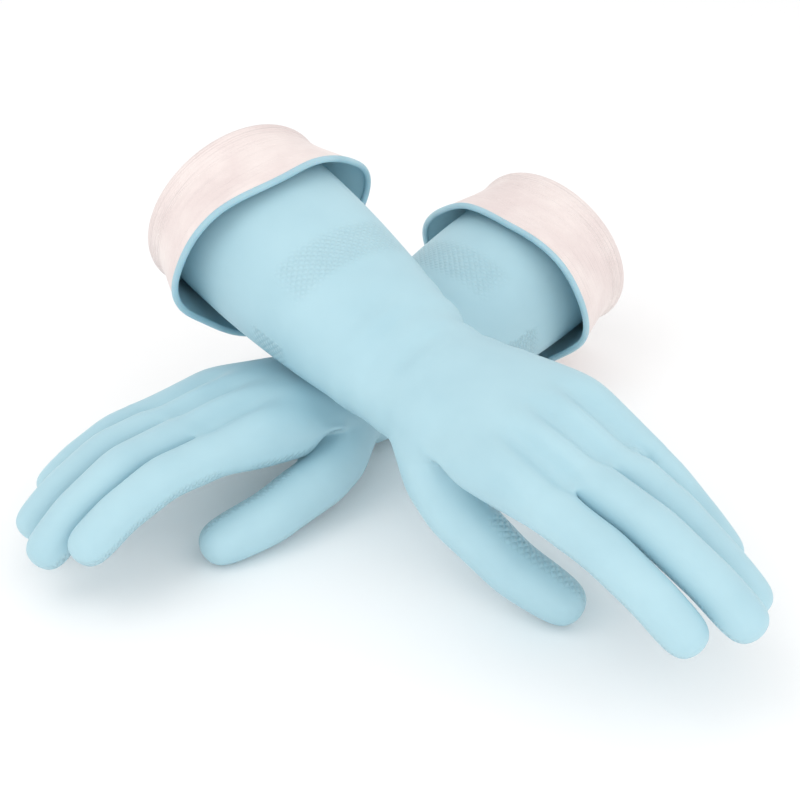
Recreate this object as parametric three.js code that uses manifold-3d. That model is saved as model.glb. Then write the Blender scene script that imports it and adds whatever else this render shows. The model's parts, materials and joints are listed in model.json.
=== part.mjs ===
// A pair of moulded household rubber gloves, laid one across the other, palms down.
// Each glove is a rubber film over a lining, with its cuff turned back to show the lining.
// Millimetres, +Z up, fingers of both gloves towards -Y. Every glove is worked out in its own
// frame: origin at the wrist, +X to the fingers, +Z on the back of the hand.
import * as THREE from 'three';
import { mergeVertices } from 'three/addons/utils/BufferGeometryUtils.js';
import Module from 'manifold-3d';

const wasm = await Module();
wasm.setup();

// Walls and clearances.
const filmWall = 0.8;
const liningWall = 0.5;
const clearance = 0.3; // between pieces that touch on the real glove
const jointClearance = 0.5; // between the two lips of a bending zone
const liftStep = 0.5; // for laying one glove on the other

// The sleeve, from the turned-back fold to the wrist.
const sleeveLength = 150;
const foldHalfWidth = 44.5;
const foldHalfHeight = 39;
const wristHalfWidth = 33;
const wristHalfHeight = 24;

// The turned-back cuff and its rolled bead.
const cuffLength = 44;
const cuffFlare = 3; // how far the rim stands out from the fold
const foldRadius = 2; // half the width of the U-turn at the fold
const rimWave = 1.6;
const beadRadius = 1.7;

// The hand.
const knuckleX = 92;
const palmHalfWidth = 42;
const palmHalfHeight = 17;
const stallStart = 17; // from a knuckle to the root of its finger stall
const thumbStart = 9; // from the thumb's knuckle to the root of its stall
const stubOverhang = 12; // solid that the root lips are cut from
const pivotDrop = 0.4; // hinge line below the stall's axis, as a share of its radius

// How far each bending zone opens and closes, in degrees.
const curlRange = { root: [-10, 36], middle: [-10, 36] };
const thumbRange = { root: [-10, 24], middle: [-10, 24] };

// Facets around each kind of piece.
const stallSides = 10;
const handSides = 16;
const sleeveSides = 20;

// knuckle: place on the hand. bones: knuckle to middle joint, to end joint, to the tip's centre.
const stalls = {
  index: { knuckle: [knuckleX, -30, 0], bones: [44, 25, 17], radius: 10 },
  middle: { knuckle: [knuckleX + 4, -9.5, 2], bones: [48, 28, 18], radius: 10 },
  ring: { knuckle: [knuckleX, 10.7, 1], bones: [45, 26, 17], radius: 9.5 },
  little: { knuckle: [knuckleX - 8, 29.4, -2], bones: [35, 21, 15], radius: 8.5 },
};
const thumb = {
  base: [24, -24, -8], bones: [36, 33, 24], baseRadius: 17, radius: 12.5, tipRadius: 11,
};

// The palm from the wrist to the knuckles: how far along, how much of the way from the wrist's size
// to the palm's size in width and in height, and how square the oval is.
const palmSteps = [
  { along: -16, wide: 0, high: 0, power: 2 },
  { along: 0, wide: 0, high: 0, power: 2 },
  { along: 22, wide: 0.4, high: 0.45, power: 2 },
  { along: 46, wide: 0.8, high: 0.8, power: 2.2 },
  { along: knuckleX - 16, wide: 1, high: 1, power: 2.4 },
  { along: knuckleX, wide: 0.8, high: 1.45, power: 2.4 },
  { along: knuckleX + 10, wide: 0.45, high: 2.1, power: 2.4 },
];
const bareSkinOverlap = 14; // how far a stall's start reaches back into the palm
const stubSwell = 0.3; // how much fuller a stall's start is than the stall

// How each glove lies. spread, curl and bend are each stall's sideways angle, its knuckle angle and
// its middle joint's angle, in degrees.
const leftGlove = {
  side: 1,
  wrist: [10.5, -99.2, 68.4],
  turn: { yaw: -50.1, pitch: 14.2, roll: 6.9 },
  hand: { sideways: 3, flex: -17 },
  wristRange: [-16, 0],
  stalls: {
    index: { spread: 0.6, curl: 13, bend: 12 },
    middle: { spread: 0, curl: 12, bend: 12 },
    ring: { spread: 2, curl: 23, bend: 10 },
    little: { spread: 3, curl: 32, bend: 8 },
  },
  thumb: { spread: 16, drop: 37.2, bend: 20, endBend: 12 },
  wavePhase: 0.4,
};
const rightGlove = {
  side: -1,
  wrist: [-21, -34.5, 24.2],
  turn: { yaw: -135, pitch: 12.5, roll: -5 },
  hand: { sideways: 1.6, flex: -25.1 },
  wristRange: [0, 0],
  stalls: {
    index: { spread: -2, curl: 11, bend: 17 },
    middle: { spread: -2, curl: 14, bend: 21 },
    ring: { spread: 2, curl: 16, bend: 19 },
    little: { spread: 7, curl: 17, bend: 16 },
  },
  thumb: { spread: 26.5, drop: 22.4, bend: 20, endBend: 12 },
  wavePhase: 2.1,
};

const rubber = { color: 0xb8dcea, roughness: 0.55, metalness: 0 };
const flock = { color: 0xf0e4e2, roughness: 0.9, metalness: 0 };

const radians = THREE.MathUtils.degToRad;
const lerp = THREE.MathUtils.lerp;

// Pieces are drawn as grids of points: rows along a piece, each row once around it.
// One row: an oval round the X axis, squared off a little by power, in a tilted end if asked.
function oval(sides, x, halfWidth, halfHeight, { power = 2, lift = 0, lip = null } = {}) {
  return Array.from({ length: sides }, (_, i) => {
    const angle = (2 * Math.PI * i) / sides;
    const round = (value) => Math.sign(value) * Math.abs(value) ** (2 / power);
    const y = halfWidth * round(Math.cos(angle));
    const z = lift + halfHeight * round(Math.sin(angle));
    return new THREE.Vector3(x + (lip ? lip(z, y) : 0), y, z);
  });
}

// Where a bending zone's hinge line is, seen from the stall before it: below the axis, and
// drawn back onto the plane that halves the resting bend.
function hingePlace(radius, bend) {
  const drop = pivotDrop * radius;
  return { back: drop * Math.sin(radians(bend / 2)), pivot: -drop * Math.cos(radians(bend / 2)) };
}

// The shape of a lip at a bending zone: it leans away from the hinge line by half of the angle
// that the zone can reach, on the palm side (close) and on the back (open).
function lipShape(side, radius, bend, [open, close]) {
  const { back, pivot } = hingePlace(radius, bend);
  return (z) => {
    const lean = (bend + (z < pivot ? close : open)) / 2;
    return side * (jointClearance / 2 + back - (z - pivot) * Math.tan(radians(lean)));
  };
}

// Each point's direction into the wall, from its neighbours in the grid.
function inwardNormals(grid) {
  const sides = grid[0].length;
  return grid.map((row, i) => row.map((point, j) => {
    const [before, after] = [grid[Math.max(i - 1, 0)], grid[Math.min(i + 1, grid.length - 1)]];
    const along = after[j].clone().sub(before[j]);
    const around = row[(j + 1) % sides].clone().sub(row[(j + sides - 1) % sides]);
    return along.cross(around).normalize();
  }));
}

function sink(grid, depth) {
  const normals = inwardNormals(grid);
  const sunk = (point, normal) => point.clone().addScaledVector(normal, depth);
  return grid.map((row, i) => row.map((point, j) => sunk(point, normals[i][j])));
}

function geometryOf(points, faces) {
  const geometry = new THREE.BufferGeometry();
  const numbers = points.flatMap((point) => point.toArray());
  geometry.setAttribute('position', new THREE.Float32BufferAttribute(numbers, 3));
  geometry.setIndex(faces.flat());
  return geometry;
}

function quads(first, second, sides) {
  const faces = [];
  for (let j = 0; j < sides; j += 1) {
    const k = (j + 1) % sides;
    faces.push([first + j, first + k, second + k], [first + j, second + k, second + j]);
  }
  return faces;
}

function centreOf(row) {
  const sum = row.reduce((total, point) => total.add(point), new THREE.Vector3());
  return sum.divideScalar(row.length);
}

// A closed solid through all rows of a grid, with a fan on each end.
function solidOf(grid) {
  const sides = grid[0].length;
  const points = [...grid.flat(), centreOf(grid[0]), centreOf(grid.at(-1))];
  const [start, end, last] = [points.length - 2, points.length - 1, (grid.length - 1) * sides];
  const faces = [];
  for (let i = 0; i < grid.length - 1; i += 1) faces.push(...quads(i * sides, (i + 1) * sides, sides));
  for (let j = 0; j < sides; j += 1) {
    faces.push([start, (j + 1) % sides, j], [end, last + j, last + ((j + 1) % sides)]);
  }
  return geometryOf(points, faces);
}

// A thin wall between two depths under a grid, open at the first row, and at the last row too
// unless a tip closes it.
function wallOf(grid, outerDepth, innerDepth, tip = null) {
  const sides = grid[0].length;
  const outer = sink(grid, outerDepth);
  const inner = sink(grid, innerDepth);
  const points = [...outer.flat(), ...inner.flat()];
  const inside = grid.length * sides;
  const last = (grid.length - 1) * sides;
  const faces = [];
  const flipped = (list) => list.map(([a, b, c]) => [a, c, b]);
  for (let i = 0; i < grid.length - 1; i += 1) {
    faces.push(...quads(i * sides, (i + 1) * sides, sides));
    faces.push(...flipped(quads(inside + i * sides, inside + (i + 1) * sides, sides)));
  }
  faces.push(...quads(inside, 0, sides));
  if (tip) {
    const towards = tip.clone().sub(centreOf(grid.at(-1))).normalize();
    const [outerTip, innerTip] = [points.length, points.length + 1];
    points.push(tip.clone().addScaledVector(towards, -outerDepth));
    points.push(tip.clone().addScaledVector(towards, -innerDepth));
    for (let j = 0; j < sides; j += 1) {
      const k = (j + 1) % sides;
      faces.push([outerTip, last + j, last + k], [innerTip, inside + last + k, inside + last + j]);
    }
  } else {
    faces.push(...quads(last, inside + last, sides));
  }
  return geometryOf(points, faces);
}

function toSolid(geometry) {
  const bare = new THREE.BufferGeometry();
  bare.setAttribute('position', geometry.getAttribute('position').clone());
  if (geometry.index) bare.setIndex(geometry.index.clone());
  const merged = mergeVertices(bare, 1e-4);
  return new wasm.Manifold(new wasm.Mesh({
    numProp: 3,
    vertProperties: new Float32Array(merged.getAttribute('position').array),
    triVerts: new Uint32Array(merged.index.array),
  }));
}

function fromSolid(solid) {
  const mesh = solid.getMesh();
  const geometry = new THREE.BufferGeometry();
  geometry.setAttribute('position', new THREE.BufferAttribute(new Float32Array(mesh.vertProperties), 3));
  geometry.setIndex(new THREE.BufferAttribute(new Uint32Array(mesh.triVerts), 1));
  return geometry;
}

const joined = (solids) => solids.reduce((all, solid) => all.add(solid));

function addMesh(parent, name, geometry, finish) {
  const mesh = new THREE.Mesh(geometry, new THREE.MeshStandardMaterial(finish));
  mesh.name = name;
  parent.add(mesh);
  return mesh;
}

// A frame inside its parent: a place, then a turn about Z, then one about Y.
function addFrame(parent, name, place, aboutZ = 0, aboutY = 0) {
  const frame = new THREE.Group();
  frame.name = name;
  frame.position.set(...place);
  frame.rotation.set(0, radians(aboutY), radians(aboutZ), 'ZYX');
  parent.add(frame);
  return frame;
}

// A hinge's own frame: its Y axis is the hinge line.
function addHinge(before, name, x, radius, bend) {
  const { back, pivot } = hingePlace(radius, bend);
  addFrame(before, name, [x - back, 0, pivot]);
}

// The length of stall between a root lip and the middle joint's lip.
function lowerStallRows(start, end, rootLip, endLip, radiusAt) {
  const middle = (start + end) / 2;
  return [
    oval(stallSides, start, radiusAt(start), radiusAt(start), { lip: rootLip }),
    oval(stallSides, middle, radiusAt(middle), radiusAt(middle)),
    oval(stallSides, end, radiusAt(end), radiusAt(end), { lip: endLip }),
  ];
}

// The stall beyond the middle joint, bent once more at the end joint, with a round tip.
function tipStallRows(bones, lip, radius, tipRadius, endTurn) {
  const [middleBone, endBone] = bones;
  const taper = (share) => lerp(radius, tipRadius, share);
  const rows = [
    oval(stallSides, 0, radius, radius, { lip }),
    oval(stallSides, middleBone * 0.55, taper(0.4), taper(0.4)),
  ];
  const endJoint = new THREE.Vector3(middleBone, 0, 0);
  const bend = (row, turn) => row.map((point) => point.applyEuler(turn).add(endJoint));
  const halfTurn = new THREE.Euler(0, endTurn.y / 2, endTurn.z / 2);
  rows.push(bend(oval(stallSides, 0, taper(0.7), taper(0.7)), halfTurn));
  for (const polar of [0, 30, 58]) {
    const size = tipRadius * Math.cos(radians(polar));
    const along = endBone + tipRadius * Math.sin(radians(polar));
    rows.push(bend(oval(stallSides, along, size, size), endTurn));
  }
  const tip = bend([new THREE.Vector3(endBone + tipRadius, 0, 0)], endTurn)[0];
  return { rows, tip };
}

// A stall's frames: where it leaves the hand, where it first bends, and where it bends again.
function addStallFrames(hand, glove, name) {
  const { knuckle, bones, radius } = stalls[name];
  const pose = glove.stalls[name];
  const place = [knuckle[0], knuckle[1] * glove.side, knuckle[2]];
  const lower = addFrame(hand, `${name}_lower_frame`, place, pose.spread * glove.side, pose.curl);
  addHinge(lower, `${name}_root_hinge`, stallStart, radius, 0);
  const upper = addFrame(lower, `${name}_tip_frame`, [bones[0], 0, 0], 0, pose.bend);
  addHinge(lower, `${name}_middle_hinge`, bones[0], radius, pose.bend);
  return { lower, upper };
}

function addStall(frames, glove, prefix, name) {
  const { bones, radius } = stalls[name];
  const bend = glove.stalls[name].bend;
  const rootLip = lipShape(1, radius, 0, curlRange.root);
  const endLip = lipShape(-1, radius, bend, curlRange.middle);
  const tipLip = lipShape(1, radius, bend, curlRange.middle);
  const radiusAt = (x) => lerp(radius, radius - 0.3, x / bones[0]);
  const lowerRows = lowerStallRows(stallStart, bones[0], rootLip, endLip, radiusAt);
  const endTurn = new THREE.Euler(0, radians(bend * 0.6), 0);
  const { rows, tip } = tipStallRows(bones.slice(1), tipLip, radius - 0.3, radius - 0.6, endTurn);
  addMesh(frames.lower, `${prefix}_${name}_stall`, wallOf(lowerRows, 0, filmWall), rubber);
  return addMesh(frames.upper, `${prefix}_${name}_tip`, wallOf(rows, 0, filmWall, tip), rubber);
}

// The thumb bends sideways, so its stall is worked out on its side: its frames are turned a
// quarter turn about X, and its Y axis is then the hinge line.
function addThumbFrames(hand, glove) {
  const pose = glove.thumb;
  const { base, bones } = thumb;
  const place = [base[0], base[1] * glove.side, base[2]];
  const root = addFrame(hand, 'thumb_base_frame', place, -pose.spread * glove.side, pose.drop);
  const onSide = addFrame(root, 'thumb_side_frame', [0, 0, 0]);
  onSide.rotation.x = (glove.side * Math.PI) / 2;
  const lower = addFrame(onSide, 'thumb_lower_frame', [bones[0], 0, 0], 0, pose.bend);
  addHinge(lower, 'thumb_root_hinge', thumbStart, thumb.radius, 0);
  const upper = addFrame(lower, 'thumb_tip_frame', [bones[1], 0, 0], 0, pose.endBend);
  addHinge(lower, 'thumb_middle_hinge', bones[1], thumb.radius, pose.endBend);
  return { base: onSide, lower, upper };
}

function addThumb(frames, glove, prefix) {
  const { bones, radius, tipRadius } = thumb;
  const { endBend } = glove.thumb;
  const rootLip = lipShape(1, radius, 0, thumbRange.root);
  const endLip = lipShape(-1, radius, endBend, thumbRange.middle);
  const tipLip = lipShape(1, radius, endBend, thumbRange.middle);
  const radiusAt = (x) => lerp(radius + 0.6, radius, x / bones[1]);
  const lowerRows = lowerStallRows(thumbStart, bones[1], rootLip, endLip, radiusAt);
  const halfTip = bones[2] / 2;
  const straight = new THREE.Euler();
  const { rows, tip } = tipStallRows([halfTip, halfTip], tipLip, radius, tipRadius, straight);
  addMesh(frames.lower, `${prefix}_thumb_stall`, wallOf(lowerRows, 0, filmWall), rubber);
  return addMesh(frames.upper, `${prefix}_thumb_tip`, wallOf(rows, 0, filmWall, tip), rubber);
}

// A closed solid along X, shrunk by a depth all round and at both ends.
function shrunkSolid(rows, depth) {
  const grid = sink(rows, depth);
  for (const point of grid[0]) point.x += depth;
  for (const point of grid.at(-1)) point.x -= depth;
  return solidOf(grid);
}

// A solid drawn in one of the hand's inner frames, in the hand's own frame.
function inHand(hand, geometry, frame) {
  const toHand = hand.matrixWorld.clone().invert().multiply(frame.matrixWorld);
  return toSolid(geometry.applyMatrix4(toHand));
}

// The palm and the starts of its stalls, as one solid shrunk by a depth.
function handSolid(hand, frames, thumbFrames, depth) {
  const palmRows = palmSteps.map(({ along, wide, high, power }) => {
    const halfWidth = lerp(wristHalfWidth, palmHalfWidth, wide);
    const halfHeight = lerp(wristHalfHeight, palmHalfHeight, high);
    return oval(handSides, along, halfWidth, halfHeight, { power });
  });
  const solids = [toSolid(shrunkSolid(palmRows, depth))];
  for (const [name, { radius }] of Object.entries(stalls)) {
    const size = radius + stubSwell;
    const rows = [
      oval(stallSides, -bareSkinOverlap, size - 1, size - 1),
      oval(stallSides, 0, size + 2 * stubSwell, size + 2 * stubSwell),
      oval(stallSides, stallStart + stubOverhang, size, size),
    ];
    solids.push(inHand(hand, shrunkSolid(rows, depth), frames[name].lower));
  }
  const { bones, baseRadius, radius } = thumb;
  const rootRadius = radius + 2 * stubSwell;
  const [halfDown, furtherDown] = [0.5, 0.6].map((share) => lerp(baseRadius, radius, share));
  const mound = [
    oval(stallSides, -bareSkinOverlap, baseRadius - 4, baseRadius - 2),
    oval(stallSides, 4, baseRadius, baseRadius),
    oval(stallSides, bones[0] * 0.6, halfDown, furtherDown),
    oval(stallSides, bones[0] + 3, rootRadius, rootRadius),
  ];
  const stubEnds = [-6, thumbStart + stubOverhang];
  const stub = stubEnds.map((x) => oval(stallSides, x, rootRadius, rootRadius));
  solids.push(inHand(hand, shrunkSolid(mound, depth), thumbFrames.base));
  solids.push(inHand(hand, shrunkSolid(stub, depth), thumbFrames.lower));
  return joined(solids);
}

// What is cut away beyond a bending zone's lip, from the frame that the lip belongs to.
function lipCutter(place, radius, bend, range, { halfWidth, depth, length }) {
  const lip = lipShape(-1, radius, bend, range);
  const { pivot } = hingePlace(radius, bend);
  const outline = new THREE.Shape([
    new THREE.Vector2(lip(pivot), pivot),
    new THREE.Vector2(lip(pivot - depth), pivot - depth),
    new THREE.Vector2(length, pivot - depth),
    new THREE.Vector2(length, pivot + depth),
    new THREE.Vector2(lip(pivot + depth), pivot + depth),
  ]);
  const geometry = new THREE.ExtrudeGeometry(outline, { depth: 2 * halfWidth, bevelEnabled: false });
  geometry.rotateX(Math.PI / 2);
  geometry.translate(place, halfWidth, 0);
  return geometry;
}

function cutStallRoots(hand, frames, thumbFrames) {
  const cutters = Object.entries(stalls).map(([name, { radius }]) => {
    const size = { halfWidth: radius + 1.2, depth: 2 * radius, length: stubOverhang + 3 };
    const cutter = lipCutter(stallStart, radius, 0, curlRange.root, size);
    return inHand(hand, cutter, frames[name].lower);
  });
  const { radius } = thumb;
  const size = { halfWidth: radius + 1, depth: 2 * radius, length: stubOverhang + 3 };
  const thumbCutter = lipCutter(thumbStart, radius, 0, thumbRange.root, size);
  cutters.push(inHand(hand, thumbCutter, thumbFrames.lower));
  return joined(cutters);
}

// The wave of a soft cuff: how far its edge swings out at each angle.
function waveAt(glove, angle) {
  return Math.cos(2 * angle + glove.wavePhase) + 0.6 * Math.cos(3 * angle - glove.wavePhase);
}

function sleeveRows(glove, wristLip) {
  const rows = [];
  const steps = 5;
  for (let i = 0; i <= steps; i += 1) {
    const share = i / steps;
    const swell = Math.sin((share * Math.PI) / 2);
    const halfWidth = lerp(wristHalfWidth, foldHalfWidth, swell);
    const halfHeight = lerp(wristHalfHeight, foldHalfHeight, swell);
    const lip = i === 0 ? wristLip : null;
    rows.unshift(oval(sleeveSides, -sleeveLength * share, halfWidth, halfHeight, { lip }));
  }
  return rows;
}

// The cuff from inside the fold, round the U-turn and back over the sleeve to the rim. Rows go
// towards the hand on the outside, so the rubber is underneath and the lining on top.
function cuffRows(glove) {
  const middle = { width: foldHalfWidth + foldRadius, height: foldHalfHeight + foldRadius };
  const rowAt = (x, out, wave) => {
    const row = oval(sleeveSides, x, middle.width + out, middle.height + out);
    return row.map((point, i) => {
      const angle = (2 * Math.PI * i) / sleeveSides;
      const swing = wave * waveAt(glove, angle);
      point.y += swing * Math.cos(angle);
      point.z += swing * Math.sin(angle);
      return point;
    });
  };
  const rows = [];
  for (const turn of [90, 130, 180, 230, 270]) {
    const bend = radians(turn);
    const x = -sleeveLength - clearance + foldRadius * Math.cos(bend);
    rows.push(rowAt(x, -foldRadius * Math.sin(bend), 0));
  }
  for (const share of [0.33, 0.66, 1]) {
    const out = foldRadius + cuffFlare * share ** 1.3;
    rows.push(rowAt(-sleeveLength + cuffLength * share, out, rimWave * share));
  }
  return rows;
}

// The rolled edge: a round bead that follows the rim.
function beadSolid(rim) {
  const centre = centreOf(rim);
  const steps = 6;
  const rings = rim.map((point) => {
    const outward = point.clone().sub(centre).setX(0).normalize();
    const along = new THREE.Vector3(1, 0, 0);
    return Array.from({ length: steps }, (_, i) => {
      const angle = (2 * Math.PI * i) / steps;
      return point.clone()
        .addScaledVector(along, beadRadius * Math.cos(angle) + beadRadius + clearance)
        .addScaledVector(outward, beadRadius * Math.sin(angle));
    });
  });
  const faces = [];
  rings.forEach((_, i) => {
    const next = (i + 1) % rings.length;
    faces.push(...quads(i * steps, next * steps, steps));
  });
  return geometryOf(rings.flat(), faces);
}

// A slab under the surface that the gloves lie on, in a frame's own directions.
function groundSlab(frame) {
  const slab = new THREE.BoxGeometry(1200, 1200, 40).translate(0, 0, -20);
  return toSolid(slab.applyMatrix4(frame.matrixWorld.clone().invert()));
}

function restOnGround(mesh) {
  mesh.updateWorldMatrix(true, false);
  mesh.geometry = fromSolid(toSolid(mesh.geometry).subtract(groundSlab(mesh)));
}

function addGlove(part, prefix, glove) {
  const sleeve = addFrame(part, `${prefix}_sleeve_frame`, glove.wrist);
  const { yaw, pitch, roll } = glove.turn;
  sleeve.rotation.set(radians(roll * glove.side), radians(pitch), radians(yaw), 'ZYX');
  const { sideways, flex } = glove.hand;
  const hand = addFrame(sleeve, `${prefix}_wrist_hinge`, [0, 0, 0], sideways * glove.side, flex);
  const frames = {};
  for (const name of Object.keys(stalls)) frames[name] = addStallFrames(hand, glove, name);
  const thumbFrames = addThumbFrames(hand, glove);
  part.updateMatrixWorld(true);

  // The wrist's lips lean by half of what the hand can lift, either side of its resting bend.
  const halfSideways = (sideways * glove.side) / 2;
  const bendLip = lipShape(-1, 0, flex, glove.wristRange);
  const wristLip = (z, y) => bendLip(z) - y * Math.tan(radians(halfSideways));
  const rows = sleeveRows(glove, wristLip);
  addMesh(sleeve, `${prefix}_sleeve`, wallOf(rows, 0, filmWall), rubber);
  const liningDepth = [filmWall + clearance, filmWall + clearance + liningWall];
  addMesh(sleeve, `${prefix}_sleeve_lining`, wallOf(rows, ...liningDepth), flock);

  const cuff = cuffRows(glove);
  const cuffDepth = liningWall + clearance;
  addMesh(sleeve, `${prefix}_turned_cuff`, wallOf(cuff, cuffDepth, cuffDepth + filmWall), rubber);
  addMesh(sleeve, `${prefix}_cuff_lining`, wallOf(cuff, 0, liningWall), flock);
  const bead = addMesh(sleeve, `${prefix}_cuff_bead`, beadSolid(cuff.at(-1)), rubber);

  const wristSize = { halfWidth: 80, depth: 60, length: 60 };
  const wristCutter = lipCutter(0, 0, flex, glove.wristRange, wristSize);
  wristCutter.rotateZ(Math.PI - radians(halfSideways));
  const cutters = cutStallRoots(hand, frames, thumbFrames).add(toSolid(wristCutter));
  const handWall = (outer, inner) => fromSolid(handSolid(hand, frames, thumbFrames, outer)
    .subtract(handSolid(hand, frames, thumbFrames, inner)).subtract(cutters));
  const palm = addMesh(hand, `${prefix}_hand`, handWall(0, filmWall), rubber);
  const handLiningDepth = liningDepth.map((depth) => depth + clearance);
  addMesh(hand, `${prefix}_hand_lining`, handWall(...handLiningDepth), flock);

  for (const name of Object.keys(stalls)) addStall(frames[name], glove, prefix, name);
  const thumbTip = addThumb(thumbFrames, glove, prefix);
  [bead, palm, thumbTip].forEach(restOnGround);
  return sleeve;
}

function wholeSolid(group) {
  group.updateMatrixWorld(true);
  const solids = [];
  group.traverse((mesh) => {
    if (mesh.isMesh) solids.push(toSolid(mesh.geometry.clone().applyMatrix4(mesh.matrixWorld)));
  });
  return joined(solids);
}

// The upper glove lies on the lower one. At other sizes than these it may have to lie higher.
function layOn(upper, lower) {
  const under = wholeSolid(lower);
  while (wholeSolid(upper).minGap(under, 2 * clearance) < clearance) upper.position.z += liftStep;
}

const part = new THREE.Group();
const lowerGlove = addGlove(part, 'right', rightGlove);
const upperGlove = addGlove(part, 'left', leftGlove);
layOn(upperGlove, lowerGlove);

// The origin is under the middle of the pair, on the surface that they lie on.
part.updateMatrixWorld(true);
const box = new THREE.Box3().setFromObject(part, true);
part.position.set(-(box.min.x + box.max.x) / 2, -(box.min.y + box.max.y) / 2, 0);

export default part;
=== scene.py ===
import json
import math

import bmesh
import bpy
import numpy as np
from mathutils import Matrix, Vector


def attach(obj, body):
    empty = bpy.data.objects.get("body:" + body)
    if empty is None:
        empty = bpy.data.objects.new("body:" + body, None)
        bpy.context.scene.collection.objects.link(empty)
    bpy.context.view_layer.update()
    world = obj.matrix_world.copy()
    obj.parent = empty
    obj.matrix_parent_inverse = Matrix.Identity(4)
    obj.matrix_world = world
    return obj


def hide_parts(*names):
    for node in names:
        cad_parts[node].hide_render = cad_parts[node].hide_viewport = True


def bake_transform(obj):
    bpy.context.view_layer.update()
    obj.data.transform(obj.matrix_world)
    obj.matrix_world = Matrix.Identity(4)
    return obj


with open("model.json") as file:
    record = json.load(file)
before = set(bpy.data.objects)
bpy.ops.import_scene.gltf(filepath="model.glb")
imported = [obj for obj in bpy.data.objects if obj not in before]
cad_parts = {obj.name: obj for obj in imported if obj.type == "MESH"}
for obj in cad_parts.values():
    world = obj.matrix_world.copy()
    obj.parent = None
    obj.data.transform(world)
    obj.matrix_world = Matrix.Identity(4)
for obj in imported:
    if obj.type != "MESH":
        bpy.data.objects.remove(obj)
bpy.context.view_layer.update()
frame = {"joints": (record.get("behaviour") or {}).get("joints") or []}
mm = 0.001

# Sizes are in millimetres and angles in degrees.
sleeve = dict(square=0.05, length=150, foldWidth=44.5, foldHeight=39, wristWidth=33, wristHeight=24)
cuff = dict(
    length=44, foldInset=5, foldRadius=2.0, beadRadius=1.6,
    flare=3.0, waist=1.3, wideWaves=2.0, shortWaves=1.8,
)
film = dict(thickness=0.5, liningThickness=0.4, liningGap=0.05)
hand = dict(palmWidth=42, palmHeight=17, stallStart=17, thumbStart=9)
stalls = dict(
    index=dict(knuckle=(92, -30, 0), bones=(44, 25, 17), radius=10.0),
    middle=dict(knuckle=(96, -9.5, 2), bones=(48, 28, 18), radius=10.0),
    ring=dict(knuckle=(92, 10.7, 1), bones=(45, 26, 17), radius=9.5),
    little=dict(knuckle=(84, 29.4, -2), bones=(35, 21, 15), radius=8.5),
)
thumb = dict(base=(24, -24, -8), bones=(36, 33, 24))

leftGlove = dict(
    name="left", side=1, wrist=(10.5, -99.2, 68.4), yaw=-50.1, pitch=14.2, roll=6.9,
    sideways=3, flex=-17, wavePhase=0, littleFlare=(8, 13), indexFlare=(7, 5), gripBand=-62,
    index=(0.6, 13, 12), middle=(0, 12, 12), ring=(2, 23, 10), little=(3, 32, 8),
    thumb=dict(spread=16, drop=37.2, bend=20, endBend=12),
)
rightGlove = dict(
    name="right", side=-1, wrist=(-21, -34.5, 24.2), yaw=-135, pitch=12.5, roll=-5,
    sideways=1.6, flex=-25.1, wavePhase=8, littleFlare=(7, 6), indexFlare=(10, -3), gripBand=-76,
    index=(-2, 11, 17), middle=(-2, 14, 21), ring=(2, 16, 19), little=(7, 17, 16),
    thumb=dict(spread=26.5, drop=22.4, bend=20, endBend=12),
)
camera = dict(elevation=30.3, distance=822, lens=71.6)

# The frame's origin differs from the layout's by a shift, read from a hinge.
wristHinge = next(j for j in frame["joints"] if j["name"] == "left_wrist_bend")
layoutShift = Vector(wristHinge["pos_m"]) / mm - Vector(leftGlove["wrist"])


def turn(axis, degrees):
    return Matrix.Rotation(math.radians(degrees), 4, axis)


def move(x, y=0, z=0):
    return Matrix.Translation((x, y, z))


def mix(a, b, share):
    return a + (b - a) * share


# The last joint of a finger bends this much of what its middle joint bends.
tipShare = 0.6


# Where a glove and each of its stalls lies.
def gloveFrames(glove):
    side = glove["side"]
    place = Vector(glove["wrist"]) + layoutShift
    wrist = move(*place) @ turn("Z", glove["yaw"]) @ turn("Y", glove["pitch"])
    wrist = wrist @ turn("X", glove["roll"] * side)
    palm = wrist @ turn("Z", glove["sideways"] * side) @ turn("Y", glove["flex"])
    halfPalm = wrist @ turn("Z", glove["sideways"] * side / 2) @ turn("Y", glove["flex"] / 2)
    frames = dict(sleeve=wrist, wrist=halfPalm, palm=palm)
    for name, stall in stalls.items():
        spread, curl, bend = glove[name]
        x, y, z = stall["knuckle"]
        first, second = stall["bones"][:2]
        knuckle = palm @ move(x, y * side, z)
        lower = knuckle @ turn("Z", spread * side) @ turn("Y", curl)
        upper = lower @ move(first) @ turn("Y", bend)
        frames[name] = dict(
            knuckle=knuckle @ turn("Z", spread * side / 2) @ turn("Y", curl / 2),
            lower=lower,
            middle=lower @ move(first) @ turn("Y", bend / 2),
            upper=upper,
            endJoint=upper @ move(second) @ turn("Y", bend * tipShare / 2),
            tip=upper @ move(second) @ turn("Y", bend * tipShare),
        )
    pose = glove["thumb"]
    x, y, z = thumb["base"]
    first, second = thumb["bones"][:2]
    base = palm @ move(x, y * side, z) @ turn("Z", -pose["spread"] * side) @ turn("Y", pose["drop"])
    lower = base @ move(first) @ turn("Z", pose["bend"] * side)
    upper = lower @ move(second) @ turn("Z", pose["endBend"] * side)
    frames["thumb"] = dict(
        base=base,
        knuckle=base @ move(first) @ turn("Z", pose["bend"] * side / 2),
        lower=lower,
        middle=lower @ move(second) @ turn("Z", pose["endBend"] * side / 2),
        upper=upper,
    )
    return frames


def deselect():
    if bpy.context.object and bpy.context.object.mode != "OBJECT":
        bpy.ops.object.mode_set(mode="OBJECT")
    bpy.ops.object.select_all(action="DESELECT")


def activate(piece):
    deselect()
    piece.select_set(True)
    bpy.context.view_layer.objects.active = piece


def corner(point):
    return tuple(round(value, 3) for value in point)


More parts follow.
